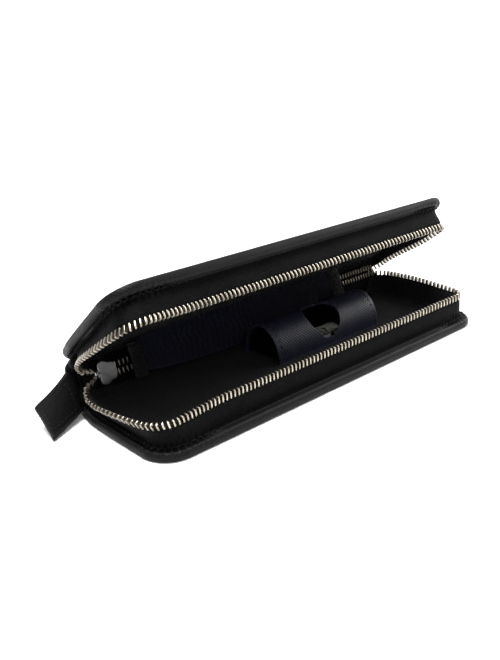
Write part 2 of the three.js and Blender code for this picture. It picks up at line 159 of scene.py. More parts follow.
# --- mesh building ---
class Build:
    """Collects patches with UVs in centimetres, then makes one welded object."""

    def __init__(self):
        self.verts, self.faces, self.uvs, self.mats = [], [], [], []

    def patch(self, p, u, v, close_u=False, close_v=False):
        """Quads over a grid p[i, j]; u and v are lengths in millimetres along and across."""
        nu, nv = p.shape[:2]
        base = len(self.verts)
        self.verts += [tuple(c) for c in p.reshape(-1, 3)]
        u, v = np.asarray(u, float) * 0.1, np.asarray(v, float) * 0.1
        if u.ndim == 1:
            u = np.repeat(u[:, None], len(v) if v.ndim == 1 else v.shape[1], 1)
        if v.ndim == 1:
            v = np.repeat(v[None], u.shape[0], 0)
        for i in range(nu if close_u else nu - 1):
            for j in range(nv if close_v else nv - 1):
                a, b = (i + 1) % nu, (j + 1) % nv
                self.faces.append([base + k for k in (i * nv + j, a * nv + j, a * nv + b, i * nv + b)])
                around = ((i, j), (i + 1, j), (i + 1, j + 1), (i, j + 1))
                self.uvs.append([(u[m, n], v[m, n]) for m, n in around])
                self.mats.append(0)

    def plane(self, p):
        """A closed grid of quads with UVs from above."""
        plan = np.concatenate([p, p[:1]])
        self.patch(p, plan[..., 0], plan[..., 1], close_u=True)

    def fan(self, ring, uv):
        """One flat face over a ring of points."""
        base = len(self.verts)
        self.verts += [tuple(c) for c in ring]
        self.faces.append([base + k for k in range(len(ring))])
        self.uvs.append([(a * 0.1, b * 0.1) for a, b in uv])
        self.mats.append(0)

    def caps(self, p, uv):
        """Flat faces over the first and the last ring of p."""
        for end in (0, -1):
            self.fan(p[end], uv)

    def make(self, name, materials, place=as_is, weld=0.004, smooth=35):
        """Moves the points with place, welds them and returns the object in metres."""
        co = place(np.array(self.verts, float)) * MM
        mesh = bpy.data.meshes.new(name)
        mesh.from_pydata([tuple(c) for c in co], [], self.faces)
        layer = mesh.uv_layers.new(name="UVMap")
        flat = [c for face in self.uvs for c in face]
        layer.data.foreach_set("uv", np.array(flat, float).ravel())
        mesh.polygons.foreach_set("material_index", self.mats)
        for m in materials if isinstance(materials, (list, tuple)) else [materials]:
            mesh.materials.append(m)
        bm = bmesh.new()
        bm.from_mesh(mesh)
        bmesh.ops.remove_doubles(bm, verts=bm.verts, dist=weld * MM)
        bmesh.ops.dissolve_degenerate(bm, edges=bm.edges, dist=weld * MM * 0.2)
        bmesh.ops.recalc_face_normals(bm, faces=bm.faces)
        bm.to_mesh(mesh)
        bm.free()
        mesh.polygons.foreach_set("use_smooth", [True] * len(mesh.polygons))
        mesh.update()
        obj = bpy.data.objects.new(name, mesh)
        bpy.context.scene.collection.objects.link(obj)
        if smooth:
            mesh.set_sharp_from_angle(angle=math.radians(smooth))
        return obj


def lengths(p, closed=False):
    """Running length along a row of points."""
    q = np.vstack([p, p[:1]]) if closed else p
    return np.concatenate([[0], np.cumsum(np.linalg.norm(np.diff(q, axis=0), axis=1))])


def thick(build, p, t, u, v):
    """A closed sheet of thickness t on one side of the grid p."""
    du = np.gradient(p, axis=0)
    dv = np.gradient(p, axis=1)
    n = np.cross(du, dv)
    n /= np.maximum(np.linalg.norm(n, axis=-1, keepdims=True), 1e-9)
    q = p + n * t
    build.patch(p, u, v)
    build.patch(q, u, v)
    tv = np.array([0, abs(t)])
    for a, b, w in ((p[0], q[0], v), (p[-1], q[-1], v), (p[:, 0], q[:, 0], u), (p[:, -1], q[:, -1], u)):
        w = w if np.ndim(w) == 1 else np.arange(len(a), dtype=float)
        build.patch(np.stack([a, b], 1), w, tv)


# --- the chain line and its stations ---
CORNER_STEPS = 40
FINE, COARSE, FINE_REACH = 0.4, 3.0, 18.0  # spacing near the corners and beyond, and where it changes


def ring_stations():
    """Base point, outward normal, running length and share of gathering all round the chain line."""
    cx, cy = CORNER_X, CORNER_Y
    rows = []
    corners = ((-cx, cy, 90), (-cx, -cy, 180), (cx, -cy, 270), (cx, cy, 0))
    for k, (x, y, a0) in enumerate(corners):
        for i in range(CORNER_STEPS + 1):
            a = math.radians(a0 + 90 * i / CORNER_STEPS)
            c, s = math.cos(a), math.sin(a)
            rows.append((x + CHAIN_R * c, y + CHAIN_R * s, c, s, 1.0))
        nx, ny, _ = corners[(k + 1) % 4]
        last, a1 = rows[-1], math.radians(corners[(k + 1) % 4][2])
        end = (nx + CHAIN_R * math.cos(a1), ny + CHAIN_R * math.sin(a1))
        span, d = math.dist(last[:2], end), FINE
        while d < span - FINE / 2:
            t, near = d / span, min(d, span - d)
            rows.append((last[0] + (end[0] - last[0]) * t, last[1] + (end[1] - last[1]) * t,
                         last[2], last[3], max(0.0, 1 - near / FINE_REACH)))
            d += FINE if near < FINE_REACH else COARSE
    r = np.array(rows)
    return r[:, :2], r[:, 2:4], lengths(r[:, :2], closed=True), r[:, 4]


BASE, NORMAL, RING_S, GATHER = ring_stations()


def ring_point(d, z):
    """Rings at sideways offsets d (scalar or per station) and heights z."""
    d, z = np.broadcast_to(d, len(BASE)), np.broadcast_to(z, len(BASE))
    return np.column_stack([BASE + NORMAL * d[:, None], z])


def row_path(s):
    """Point and outward normal at distance s from the start of a tooth row."""
    side, front, corner = CHAIN_W - 2 * CHAIN_R, CHAIN_L - 2 * CHAIN_R, CHAIN_R * math.pi / 2
    lead, tail = CHAIN_R * LEAD_ARC, CHAIN_R * TAIL_ARC
    cx, cy = CORNER_X, CORNER_Y
    arcs = {1: (-cx, cy, math.pi - lead / CHAIN_R), 3: (-cx, -cy, math.pi), 5: (cx, -cy, 1.5 * math.pi),
            7: (cx, cy, 0.0)}
    lines = {2: (-CHAIN_L / 2, cy, 0, -1), 4: (-cx, -CHAIN_W / 2, 1, 0), 6: (CHAIN_L / 2, -cy, 0, 1)}
    spans = {1: lead, 2: side, 3: corner, 4: front, 5: corner, 6: side, 7: tail}
    d = s
    for k in range(1, 8):
        if d < spans[k] or k == 7:
            break
        d -= spans[k]
    if k in arcs:
        x, y, a0 = arcs[k]
        a = a0 + d / CHAIN_R
        n = (math.cos(a), math.sin(a))
        return np.array([x + CHAIN_R * n[0], y + CHAIN_R * n[1]]), np.array(n)
    x, y, tx, ty = lines[k]
    return np.array([x + tx * d, y + ty * d]), np.array([ty, -tx])


ROW_LENGTH = (2 * (CHAIN_W - 2 * CHAIN_R) + CHAIN_L - 2 * CHAIN_R
              + CHAIN_R * (math.pi + LEAD_ARC + TAIL_ARC))


# --- materials ---
class Nodes:
    """Small helper to write a node tree."""

    def __init__(self, name, slot_color):
        self.mat = bpy.data.materials.new(name)
        self.mat.use_nodes = True
        self.mat.diffuse_color = (*slot_color, 1)
        self.tree = self.mat.node_tree
        self.shader = self.tree.nodes["Principled BSDF"]

    def add(self, kind, **values):
        node = self.tree.nodes.new(kind)
        for key, value in values.items():
            if hasattr(node, key):
                setattr(node, key, value)
            else:
                node.inputs[key.replace("_", " ")].default_value = value
        return node

    def link(self, a, b):
        self.tree.links.new(a, b)

    def put(self, node, k, value):
        """Sets input k to a number or a colour, or links it."""
        if isinstance(value, (int, float)):
            node.inputs[k].default_value = value
        elif isinstance(value, tuple):
            node.inputs[k].default_value = (*value, 1)
        else:
            self.link(value, node.inputs[k])

    def math(self, op, a, b):
        node = self.add("ShaderNodeMath", operation=op)
        self.put(node, 0, a)
        self.put(node, 1, b)
        return node.outputs[0]

    def ramp(self, fac, low, high, lo=0.0, hi=1.0):
        node = self.add("ShaderNodeValToRGB")
        for k, (place, color) in enumerate(((lo, low), (hi, high))):
            node.color_ramp.elements[k].position = place
            node.color_ramp.elements[k].color = (*color, 1)
        self.link(fac, node.inputs[0])
        return node.outputs[0]

    def mix(self, fac, a, b):
        node = self.add("ShaderNodeMix", data_type="RGBA")
        for k, value in ((0, fac), (6, a), (7, b)):
            self.put(node, k, value)
        return node.outputs[2]

    def remap(self, fac, lo, hi):
        node = self.add("ShaderNodeMapRange")
        node.inputs[3].default_value = lo
        node.inputs[4].default_value = hi
        self.link(fac, node.inputs[0])
        return node.outputs[0]

    def uv(self, turn=0.0):
        if not hasattr(self, "coords"):
            self.coords = self.add("ShaderNodeUVMap", uv_map="UVMap")
        m = self.add("ShaderNodeMapping")
        m.inputs["Rotation"].default_value = (0, 0, turn)
        self.link(self.coords.outputs[0], m.inputs[0])
        return m.outputs[0]

    def bands(self, vector, period_mm, distortion=0.6, detail=1.0):
        """Parallel ridges of the given period; the UVs are centimetres."""
        node = self.add("ShaderNodeTexWave", wave_type="BANDS", bands_direction="X", wave_profile="SIN",
                        Scale=math.pi / period_mm, Distortion=distortion, Detail=detail)
        node.inputs["Detail Scale"].default_value = 1.5
        self.link(vector, node.inputs[0])
        return node.outputs["Fac"]

    def noise(self, scale, detail=2.0, rough=0.5):
        if not hasattr(self, "place"):
            self.place = self.add("ShaderNodeTexCoord").outputs["Object"]
        node = self.add("ShaderNodeTexNoise", Scale=scale, Detail=detail, Roughness=rough)
        self.link(self.place, node.inputs["Vector"])
        return node.outputs["Fac"]

    def bump(self, height, strength, distance_mm, under=None):
        node = self.add("ShaderNodeBump", Strength=strength, Distance=distance_mm * MM)
        self.link(height, node.inputs["Height"])
        if under is not None:
            self.link(under, node.inputs["Normal"])
        return node.outputs[0]

    def finish(self, color, rough, normal, specular=0.35, metallic=0.0, sheen=0.0):
        self.link(color, self.shader.inputs["Base Color"])
        self.link(rough, self.shader.inputs["Roughness"])
        if normal is not None:
            self.link(normal, self.shader.inputs["Normal"])
        for key, value in (("Specular IOR Level", specular), ("Metallic", metallic),
                           ("Sheen Weight", sheen), ("Sheen Roughness", 0.5)):
            self.shader.inputs[key].default_value = value
        return self.mat


def saffiano(name, dark, light, worn, period, rough, specular=0.35):
    """Cross-grained leather: two sets of slanting ridges, with worn, lighter edges."""
    n = Nodes(name, dark)
    a = n.bands(n.uv(math.radians(38)), period, 0.9)
    b = n.bands(n.uv(math.radians(-38)), period, 0.9)
    grain = n.math("MAXIMUM", a, n.math("MULTIPLY", b, 0.75))
    grain = n.math("MULTIPLY", grain, n.remap(n.noise(1600, 2), 0.65, 1.1))
    blotch = n.noise(60, 4, 0.6)
    color = n.ramp(n.math("MULTIPLY", grain, n.remap(blotch, 0.55, 1.25)), dark, light, 0.35, 0.95)
    edge = n.add("ShaderNodeNewGeometry").outputs["Pointiness"]
    wear = n.ramp(edge, (0, 0, 0), (1, 1, 1), 0.505, 0.58)
    color = n.mix(n.math("MULTIPLY", wear, n.remap(n.noise(420, 3), 0.1, 0.7)), color, worn)
    roughness = n.remap(n.noise(240, 3), rough - 0.07, rough + 0.1)
    normal = n.bump(grain, 0.9, 0.1, n.bump(n.noise(1100, 3), 0.35, 0.06))
    return n.finish(color, roughness, normal, specular)


def soft_leather(name, dark, light, rough, specular=0.3):
    """Thin wall leather: fine lines along its length over small pebbles."""
    n = Nodes(name, dark)
    lines = n.bands(n.uv(math.pi / 2), 0.8, 5.0, 4)
    pebble = n.noise(1000, 4, 0.7)
    grain = n.math("ADD", n.math("MULTIPLY", lines, 0.16), n.math("MULTIPLY", pebble, 0.84))
    blotch = n.remap(n.noise(90, 3), 0.75, 1.15)
    color = n.ramp(n.math("MULTIPLY", grain, blotch), dark, light, 0.32, 0.68)
    roughness = n.remap(n.noise(300, 2), rough - 0.06, rough + 0.1)
    return n.finish(color, roughness, n.bump(grain, 1.0, 0.14), specular)


def ribbed(name, dark, light, period, turn=0.0):
    """Woven cloth with fine ribs."""
    n = Nodes(name, dark)
    ribs = n.bands(n.uv(turn), period, 0.4)
    weft = n.bands(n.uv(turn + math.pi / 2), period * 0.55, 0.5)
    weave = n.math("MULTIPLY", ribs, n.remap(weft, 0.6, 1.0))
    color = n.ramp(n.math("MULTIPLY", weave, n.remap(n.noise(140, 3), 0.7, 1.15)), dark, light, 0.1, 1.0)
    return n.finish(color, n.remap(n.noise(600, 2), 0.79, 0.93), n.bump(weave, 0.9, 0.12), 0.08, 0.0, 0.02)


def satin(name, dark, light, specular=0.5, sheen=0.2):
    """Smooth cloth with soft folds, its colour lighter on the fold crests: painted highlights on the crumples.
    """
    n = Nodes(name, dark)
    thread = n.bands(n.uv(), 0.28, 0.3)
    folds = n.noise(160, 3, 0.55)
    # painted highlights: the colour rises with the same fold noise that bumps the surface
    color = n.ramp(n.math("ADD", n.math("MULTIPLY", folds, 0.8), n.math("MULTIPLY", thread, 0.15)),
                   dark, light, 0.3, 0.75)
    normal = n.bump(thread, 0.25, 0.02, n.bump(folds, 0.5, 0.6))
    return n.finish(color, n.remap(folds, 0.32, 0.5), normal, specular, 0.0, sheen)


def metal(name, low, high, rough):
    """Brushed metal with tarnish from low to high."""
    n = Nodes(name, high)
    tarnish = n.noise(260, 4, 0.6)
    brushed = n.noise(900, 2)
    color = n.ramp(tarnish, low, high, 0.25, 0.7)
    roughness = n.remap(brushed, rough - 0.06, rough + 0.1)
    return n.finish(color, roughness, n.bump(brushed, 0.12, 0.01), 0.5, 1.0)


def thread(name, dark, light):
    """Twisted sewing thread."""
    n = Nodes(name, dark)
    twist = n.bands(n.uv(math.radians(35)), 0.25, 0.2)
    return n.finish(n.ramp(twist, dark, light), n.remap(twist, 0.55, 0.75), n.bump(twist, 0.5, 0.03), 0.3)


BLACK = saffiano("black_saffiano", (0.0011, 0.0011, 0.0012), (0.0088, 0.0088, 0.0094),
                 (0.024, 0.024, 0.026), 0.72, 0.42, 0.11)
STRAP = saffiano("strap_leather", (0.0018, 0.0016, 0.0017), (0.0068, 0.0062, 0.0064),
                 (0.03, 0.03, 0.031), 0.6, 0.52, 0.05)
WALL = soft_leather("gusset_leather_black", (0.0006, 0.0006, 0.0006), (0.006, 0.0058, 0.0059), 0.6, 0.04)
NAVY = saffiano("navy_saffiano", (0.0024, 0.003, 0.0075), (0.028, 0.03, 0.055), (0.055, 0.06, 0.092),
                1.1, 0.4, 0.28)
NAVY_SOFT = saffiano("navy_strip_leather", (0.0012, 0.0015, 0.0042), (0.0085, 0.01, 0.024),
                     (0.02, 0.022, 0.045), 0.9, 0.55, 0.1)
LINING = ribbed("ribbed_lining", (0.0012, 0.0012, 0.0012), (0.034, 0.033, 0.034), 0.72)
TAPE = ribbed("zip_tape_weave", (0.001, 0.001, 0.001), (0.006, 0.006, 0.006), 0.5, turn=math.pi / 2)
# light grey satin: a painted patch of light falling through the thumb hole onto the crumpled floor
SATIN_PAINTED_LIGHT = satin("sleeve_satin_painted_light", (0.003, 0.003, 0.004), (0.4, 0.39, 0.36))
SATIN_DARK = satin("sleeve_satin_shade", (0.0008, 0.0008, 0.001), (0.003, 0.003, 0.0035), 0.03, 0.0)
NICKEL = metal("warm_nickel", (0.24, 0.212, 0.172), (0.54, 0.49, 0.405), 0.32)
# dark nickel for the tooth flanks: painted shade in the gaps between neighbouring teeth
FLANK_PAINTED_SHADE = metal("shaded_nickel", (0.09, 0.08, 0.066), (0.26, 0.235, 0.2), 0.38)
GUN = metal("polished_gunmetal", (0.16, 0.16, 0.165), (0.3, 0.3, 0.3), 0.32)
DARK_METAL = metal("dark_gunmetal", (0.02, 0.02, 0.021), (0.05, 0.05, 0.05), 0.4)
BLACK_THREAD = thread("black_thread", (0.0012, 0.0012, 0.0012), (0.008, 0.008, 0.0085))
NAVY_THREAD = thread("navy_thread", (0.004, 0.005, 0.012), (0.014, 0.016, 0.035))


# --- covers ---
def ring_wobble(z, scale):
    """Unevenness at height z for each station of the ring."""
    return np.array([wobble(x, y, z, scale) for x, y in BASE])


def gathers():
    """Pleat shape along the ring: tight gathers at the rounded corners, fading along the straights."""
    run = RING_S[:len(GATHER)]
    wave = np.abs(np.sin(math.pi * run / 1.9 + 1.2 * ring_wobble(5, 6.0))) ** 0.7
    return ease(GATHER * 1.25) * wave


PLEATS = gathers()

COVER_PROFILE = [  # offset from the chain line, height, share of pleat depth, share of wobble
    (-6.0, 0.0, 0, 0), (1.6, 0.0, 0, 0), (3.3, 0.0, 0, 0), (4.15, 0.08, 0, 0.2), (4.6, 0.34, 0, 0.5),
    (4.85, 0.8, 0, 0.8), (4.92, 1.5, 0.0, 1), (4.88, 2.1, 0.1, 1), (4.7, 2.75, 0.2, 1),
    (4.35, 3.25, 0.3, 1), (3.95, 3.62, 0.4, 1), (3.55, 3.74, 0.5, 0.8), (3.25, 3.64, 0.6, 0.6),
    (2.98, 3.3, 0.5, 0.4), (2.75, 2.98, 0.2, 0.2), (2.35, 2.95, 0.2, 0.2), (2.08, 3.34, 1.0, 0.4),
    (1.85, 3.78, 1.2, 0.6), (1.5, 3.92, 1.1, 0.6), (1.15, 3.8, 0.7, 0.3), (0.75, 3.74, 0.2, 0),
    (-5.5, 3.72, 0, 0), (-5.5, 2.8, 0, 0), (3.1, 2.8, 0, 0), (3.1, 1.2, 0, 0), (-6.0, 1.2, 0, 0)]


def middle_line(ring):
    """A point on the middle line for each point of a ring, on steps that both long sides share."""
    x = np.clip(np.round(ring[:, 0] / 3.5) * 3.5, -66.5, 66.5)
    return np.column_stack([x, np.zeros(len(ring)), np.full(len(ring), ring[:, 2].mean())])


def inwards(ring, t):
    """Rings at the shares t of the way from a ring to its middle line."""
    t = t[None, :, None]
    return ring[:, None] * (1 - t) + middle_line(ring)[:, None] * t


def cover(name, place):
    """Padded leather cover with a raised rim, a stitching groove and pleats at the corners."""
    b = Build()
    rings = []
    for d, z, pleat, wob in COVER_PROFILE:
        n = ring_wobble(z * 2, 9.0) * 0.14 * wob
        drop = PLEATS * pleat * 0.8
        rings.append(ring_point(d + n - drop * 0.5, z + n * 0.5 - drop))
    p = np.stack(rings, 1)
    b.patch(p, RING_S, lengths(np.array([(d, z) for d, z, _, _ in COVER_PROFILE])), close_u=True)
    for ring in (rings[0], rings[-1]):
        b.plane(inwards(ring, np.linspace(0, 1, 9)))
    obj = b.make(f"{name}_cover_skin", BLACK, place)
    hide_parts(f"{name}_cover_leather")
    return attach(obj, name)


def unit(v):
    return v / np.linalg.norm(v)


def sample(points, run, at):
    """Points of a polyline at the distances at."""
    return np.stack([np.interp(at, run, column) for column in points.T], -1)


def stitches(name, points, ups, pitch, length, radius, material, place=as_is):
    """A row of separate thread stitches along a dense polyline, each a small bowed capsule."""
    b = Build()
    s = lengths(points)
    count = int(s[-1] / pitch)
    for k in range(count):
        mid = (k + 0.5) * s[-1] / count
        at = mid + np.linspace(-0.5, 0.5, 5) * length
        c = sample(points, s, at)
        up = unit(sample(ups, s, mid))
        side = np.cross(unit(c[-1] - c[0]), up)
        bow = np.array([-0.9, 0.1, 0.35, 0.1, -0.9]) * radius
        fat = np.array([0.55, 0.95, 1.0, 0.95, 0.55]) * radius
        a = np.linspace(0, 2 * math.pi, 7)[:-1]
        p = np.stack([ci + up * w + f * (np.cos(a)[:, None] * side + np.sin(a)[:, None] * up)
                      for ci, w, f in zip(c, bow, fat)])
        b.patch(p, at, np.linspace(0, 2 * math.pi * radius, 7), close_v=True)
        b.caps(p, [(x, 0) for x in range(6)])
    return b.make(name, material, place, weld=0.0005, smooth=None)


def rim_stitching(name, place):
    """Stitches in the groove inside the rim."""
    stations = ring_point(1.62, 3.9)
    points = np.vstack([stations, stations[:1]])
    ups = np.repeat([[0.0, 0.0, 1.0]], len(points), 0)
    obj = stitches(f"{name}_rim_stitching", points, ups, 2.6, 1.9, 0.15, BLACK_THREAD, place)
    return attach(obj, name)


# --- gusset walls, linings and tape ---
def back_drop(full, low):
    """Wall height per station: low along the spine and full everywhere else."""
    x, y = BASE.T
    ends = np.maximum(ease((-71.5 - x) / 3), ease((x - 71.5) / 3))
    return low + (full - low) * np.maximum(ends, np.where(y < BACK_Y, 1, 0))


GUSSET_PROFILE = [  # offset, share of the height
    (1.0, 0.0), (0.72, 0.05), (0.66, 0.14), (0.86, 0.32), (0.98, 0.5), (0.94, 0.7), (0.8, 0.86),
    (0.72, 0.93), (0.55, 0.985), (0.3, 1.0), (-0.2, 1.0), (-0.5, 0.98), (-0.6, 0.9), (-0.6, 0.0)]


def gusset(name, place):
    """Soft wall round a half, gathered into the cover and bulging at the back left corner."""
    b = Build()
    top = back_drop(WALL_TOP, WALL_LOW)
    foot = COVER_T - 0.02
    x, y = (BASE + (CORNER_X, -CORNER_Y)).T
    round_back = np.where((x < 0) & (y > 0), np.abs(2 * x * y) / CHAIN_R ** 2, 0)
    rings = []
    for offset, h in GUSSET_PROFILE:
        n = ring_wobble(h * 3 + 7, 14.0)
        z = foot + (top - foot) * h + n * 0.12 * h
        d = np.full(len(BASE), offset)
        if offset > 0:
            d += n * 0.28 * math.sin(math.pi * h) + PLEATS * 0.8 * max(0.0, 1 - h / 0.38)
            d += 4.6 * round_back * math.sin(math.pi * min(h, 0.999)) ** 0.45
        rings.append(ring_point(d, z))
    across = lengths(np.array([(d, 6 * h) for d, h in GUSSET_PROFILE]), closed=True)
    b.patch(np.stack(rings, 1), RING_S, across, close_u=True, close_v=True)
    obj = b.make(f"{name}_gusset_wall", WALL, place)
    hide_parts(f"{name}_gusset")
    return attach(obj, name)


def inner_lining(name, place):
    """Floor cloth that turns up the walls and ends behind the tape."""
    b = Build()
    top = back_drop(LINING_TOP, LINING_LOW)
    profile = [  # offset, share of the height, softness
        (-0.95, 1.0, 0), (-1.25, 0.86, 0), (-1.6, 0.55, 0.6), (-1.8, 0.25, 0.8),
        (-2.2, 0.07, 0.4), (-2.9, 0.01, 0.2), (-4.0, 0.0, 0), (-6.2, 0.0, 0)]
    turn = len(profile) - 1
    rings = []
    for d, h, soft in profile:
        n = ring_wobble(40 + h * 4, 11.0) * soft * 0.5
        rings.append(ring_point(d + n, FLOOR + (top - FLOOR) * h))
    floor = inwards(rings[-1], np.linspace(0, 1, 14)[1:])
    for row in floor:
        for j, c in enumerate(row):
            c[2] += 0.09 * wobble(c[0], c[1], 3.3, 13.0) * min(1.0, j / 3)
    full = np.concatenate([np.stack(rings, 1), floor], 1)
    under = full.copy()
    under[..., 2] -= 0.45
    under[:, :5, 2] += 0.45 * np.array([1, 1, 1, 0.8, 0.4])
    under[:, :5, :2] += NORMAL[:, None] * 0.4 * np.array([1, 1, 1, 0.8, 0.5])[:, None]
    walls = lengths(np.array([(d, h * 5) for d, h, _ in profile]))
    for grid in (full, under):
        b.patch(grid[:, :turn + 1], RING_S, walls, close_u=True)
        b.plane(grid[:, turn:])
    rim = np.stack([full[:, 0], under[:, 0]], 1)
    b.patch(rim, RING_S, [0, 0.4], close_u=True)
    obj = b.make(f"{name}_lining_cloth", LINING, place)
    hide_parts(f"{name}_lining", f"{name}_wall_lining")
    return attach(obj, name)


def tape_row(name, place):
    """Woven zip tape that stands out of the wall and carries the teeth on its corded edge."""
    b = Build()
    s = np.linspace(0, ROW_LENGTH, 200)
    profile = [(-0.3, 9.6), (0.3, 9.6), (0.3, 10.9), (0.42, 11.1), (0.42, 11.5), (0.2, 11.7),
               (-0.2, 11.7), (-0.42, 11.5), (-0.42, 11.1), (-0.3, 10.9)]
    p = np.array([[(*(c + n * d), z) for d, z in profile] for c, n in map(row_path, s)])
    b.patch(p, s, lengths(np.array(profile), closed=True), close_v=True)
    b.caps(p, profile)
    obj = b.make(f"{name}_tape", TAPE, place)
    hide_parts(f"{name}_zip_tape")
    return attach(obj, name)


# --- zip teeth ---
def tooth_rings():
    """Outlines up a tooth: two legs closed over the cord, a waist, and a rounded head."""
    w, d = TOOTH_W / 2, TOOTH_D / 2
    rows = [  # share of the height, of the half width, and of the half depth
        (0.0, 0.8, 0.86), (0.05, 0.94, 0.97), (0.3, 1.0, 1.0), (0.5, 0.96, 0.97),
        (0.7, 0.92, 0.92), (0.88, 0.9, 0.86), (0.96, 0.8, 0.76), (1.0, 0.6, 0.6)]
    r = 0.2
    out = []
    for h, wide, deep in rows:
        pts = []
        for sx, sy, q in ((1, 1, 0), (-1, 1, 1), (-1, -1, 2), (1, -1, 3)):
            for k in (0, 0.5, 1):
                a = (q + k) * math.pi / 2
                pts.append((sx * (wide * w - r) + r * math.cos(a), sy * (deep * d - r) + r * math.sin(a)))
        out.append((h, pts))
    return out


TOOTH = tooth_rings()


def add_tooth(b, origin, t, n, u, height=TOOTH_TOP - TOOTH_FOOT, scale=1.0):
    """One cast tooth: t along the row, n outwards, u towards the other row."""
    p = np.array([[origin + t * x * scale + n * y + u * h * height for x, y in pts] for h, pts in TOOTH])
    m = p.shape[1]
    around = np.linspace(0, 2 * (TOOTH_W + TOOTH_D), m + 1)
    b.patch(p, np.linspace(0, height, len(p)), around, close_v=True)
    b.caps(p, [(k, 0) for k in range(m)])
    # locating nub on the side of the head
    c = origin + u * height * 0.8 + t * TOOTH_W * 0.45 * scale
    a = np.linspace(0, 2 * math.pi, 9)[:-1]
    nub = np.array([[c + t * e + r * (np.cos(x) * n + np.sin(x) * u * 0.8) for x in a]
                    for e, r in ((-0.1, 0.34), (0.04, 0.3), (0.1, 0.16))])
    b.patch(nub, [0, 0.3, 0.5], np.linspace(0, 2, 9), close_v=True)
    b.caps(nub, [(k, 0) for k in range(8)])


def teeth_row(name, shape, seat, shift):
    """Teeth along the row as it lies open, closer on the left and spread round the splayed end, with painted
    shade on the flanks.
    """
    b = Build()
    plan = np.array([row_path(v)[0] for v in np.linspace(0, ROW_LENGTH, 900)])
    foot, head = (shape(np.column_stack([plan, np.full(len(plan), z)]))
                  for z in (TOOTH_FOOT, TOOTH_TOP))
    middle = (foot + head) / 2
    run = lengths(middle)
    at, k = 0.6 + shift, 0
    while at < run[-1] - 0.6:
        x, y = sample(plan, run, at)
        spread = ease((-72 - x) / 8) * ease((y + 23) / 10)
        pitch = PITCH * (0.95 + 0.2 * ease((x + 70) / 140) + 0.42 * spread)
        t = sample(middle, run, at + 0.8) - sample(middle, run, at - 0.8)
        u = unit(sample(head, run, at) - sample(foot, run, at))
        t += u * 0.03 * math.sin(k * 4.1414)
        t = unit(t - u * (t @ u))
        n = np.cross(t, u)
        origin = sample(middle, run, at) - u * (TOOTH_TOP - TOOTH_FOOT) / 2
        origin = origin + n * 0.05 * math.sin(k * 12.9898)
        first = len(b.faces)
        add_tooth(b, origin, t, n, u, scale=pitch / PITCH)
        # faces that look along the row get the dark nickel: painted shade between the teeth
        for f in range(first, len(b.faces)):
            a, c, d = (np.array(b.verts[v]) for v in b.faces[f][:3])
            normal = np.cross(c - a, d - a)
            if abs(normal @ t) > 0.8 * np.linalg.norm(normal):
                b.mats[f] = 1
        at, k = at + pitch, k + 1
    obj = b.make(f"{name}_cast_teeth", [NICKEL, FLANK_PAINTED_SHADE], seat, weld=0.0005, smooth=40)
    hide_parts(f"{name}_zip_teeth")
    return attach(obj, name)


def meshed(name, x0, x1, node, lean):
    """Closed zip: teeth of both rows meshed on the bisector plane."""
    b = Build()
    t, out, up = np.eye(3)
    for k in range(int((x1 - x0) / PITCH)):
        for sign, dx in ((1, 0.0), (-1, PITCH / 2)):
            origin = np.array([x0 + 0.65 + k * PITCH + dx, 0, -2.95 * sign])
            add_tooth(b, origin, t, out, up * sign, 2.7, 0.68)
    obj = b.make(name, NICKEL, spine_lean(lean), weld=0.0005, smooth=40)
    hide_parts(node)
    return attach(obj, "spine")


# --- spine ---
V_DIR = np.array([0.0, math.sin(PHI), math.cos(PHI)])


def rotated(f, z):
    """Bottom-half point (forward, up from the axis) in spine coordinates."""
    c, s = math.cos(PHI), math.sin(PHI)
    return -(f * c + z * s), -f * s + z * c


def spine_outer():
    """Outer leather of the spine, folding between the two gussets."""
    b = Build()
    low = [rotated(-0.9, -8.3), rotated(-1.15, -7.0), rotated(-1.3, -5.6),
           (2.75, -3.6), (2.2, -1.8), (2.0, -0.6)]
    pts = np.array(low + [(y, -z) for y, z in low[::-1]])
    s = lengths(pts)
    dense = np.linspace(0, s[-1], 25)
    y, z = np.interp(dense, s, pts[:, 0]), np.interp(dense, s, pts[:, 1])
    xs = np.linspace(*SPINE_X, 64)
    p = np.array([[(x, yy + 0.12 * wobble(x, zz * 2, 5, 9), zz) for yy, zz in zip(y, z)] for x in xs])
    thick(b, p, 0.7, xs, dense)
    obj = b.make("spine_outer_leather", WALL, to_spine)
    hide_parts("spine_leather")
    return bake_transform(obj)


def navy_strip():
    """Navy lining strip along the inside of the spine, creased across at its left half."""
    b = Build()
    xs = np.linspace(*STRIP_X, 190)
    ts = np.linspace(-1, 1, 19)
    p = []
    for x in xs:
        k = (x - STRIP_X[0]) / (STRIP_X[1] - STRIP_X[0])
        low = 5.4 + 4.6 * math.sin(math.pi * min(1.0, k * 1.1)) ** 0.7
        high = 6.6 + 1.2 * max(0.0, math.sin(math.pi * k)) ** 0.7
        crease = max(0.0, 1 - max(0.0, (x + 12) / 22)) * (0.35 + 0.65 * min(1, k * 6))
        row = []
        for t in ts:
            v = t * (high if t > 0 else low)
            y = -3.3 - 0.9 * (1 - t * t) - (0.9 * max(0, -t) ** 2 if low > 6 else 0)
            w = math.sin(x * 2 * math.pi / 2.7 + 2.1 * wobble(x, v * 2, 1, 6) + 0.5 * math.sin(v * 0.6))
            y -= crease * 0.3 * w * (1 - 0.35 * abs(t))
            y -= 0.3 * wobble(x, v, 9, 12)
            row.append((x, y, v + 1.6 + 2.4 * k))
        p.append(row)
    thick(b, np.array(p), 0.7, xs, ts * 7)
    obj = b.make("navy_spine_strip", NAVY_SOFT, to_spine)
    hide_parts("spine_lining_strip")
    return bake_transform(obj)


